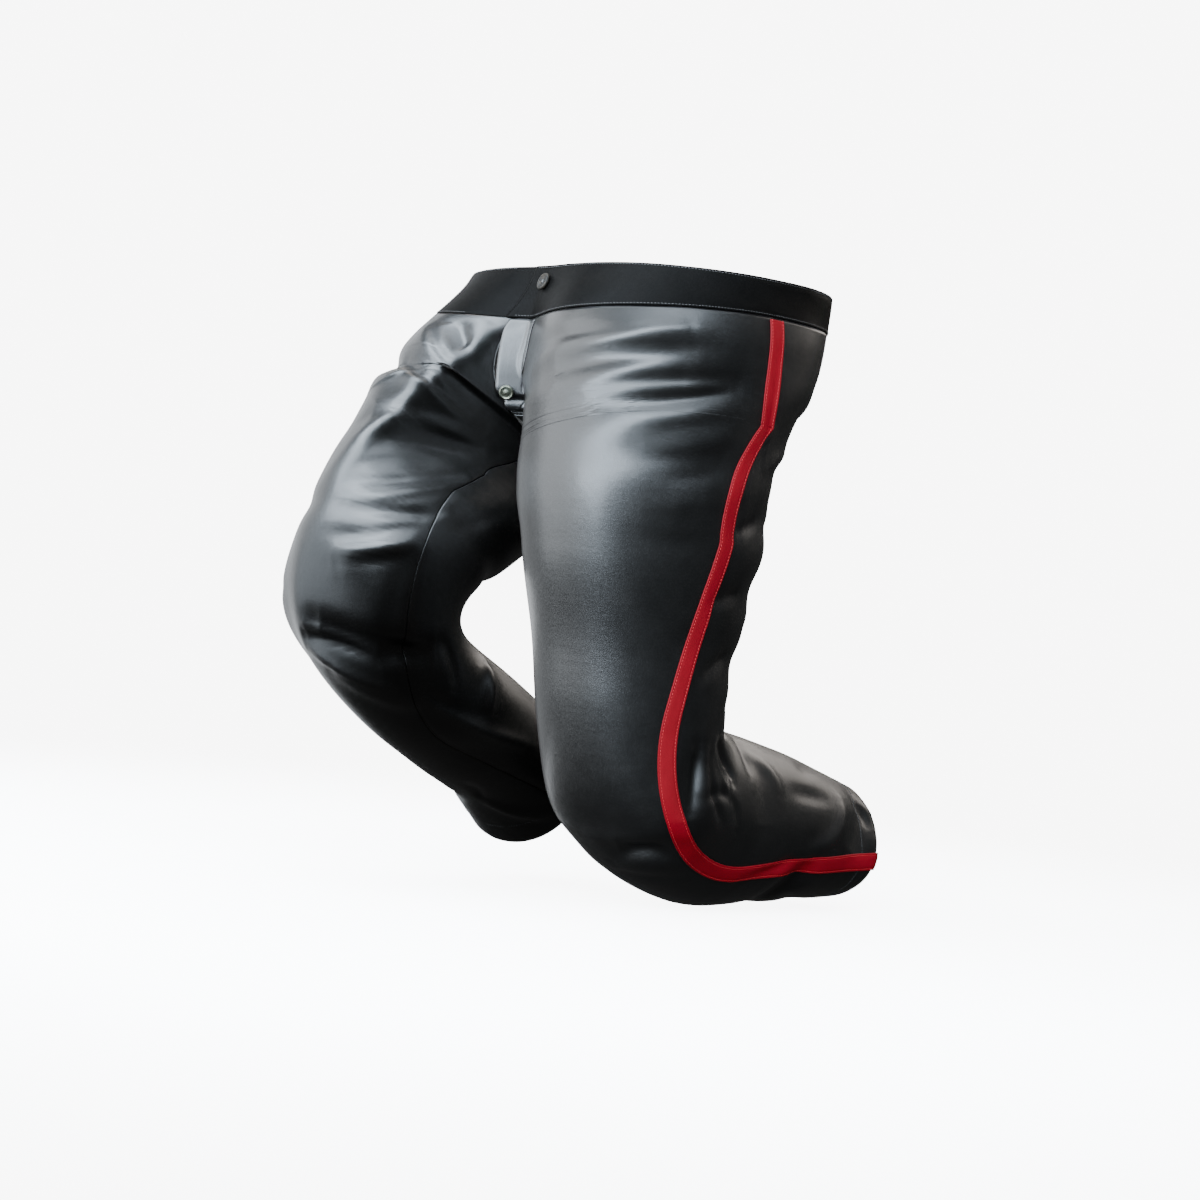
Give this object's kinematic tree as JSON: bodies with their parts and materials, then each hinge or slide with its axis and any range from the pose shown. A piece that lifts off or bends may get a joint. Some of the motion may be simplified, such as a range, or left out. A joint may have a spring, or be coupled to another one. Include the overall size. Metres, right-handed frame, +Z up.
{
  "type": "leather trousers",
  "caption": "Black leather trousers with a red stripe down each outseam, worn and empty: kneeling on the left knee with the right foot forward.",
  "frame": {"origin": "middle of the waist opening, level with the top edge of the waistband", "axes": "+Z up out of the waist, -Y the way the wearer faces, +X the wearer's left"},
  "size_m": [0.4185, 0.623, 0.5852],
  "materials": {
    "black_leather": "smooth and glossy",
    "red_leather": "smooth, half gloss",
    "dark_horn": "polished",
    "old_brass": "dull and tarnished"
  },
  "bodies": {
    "root": {"front_left": "black_leather", "back_left": "black_leather", "front_right": "black_leather", "back_right": "black_leather", "stripe_left": "red_leather", "stripe_right": "red_leather", "fly": "black_leather", "waistband": "black_leather", "waist_button": "dark_horn", "fly_stud": "old_brass"}
  },
  "joints": []
}
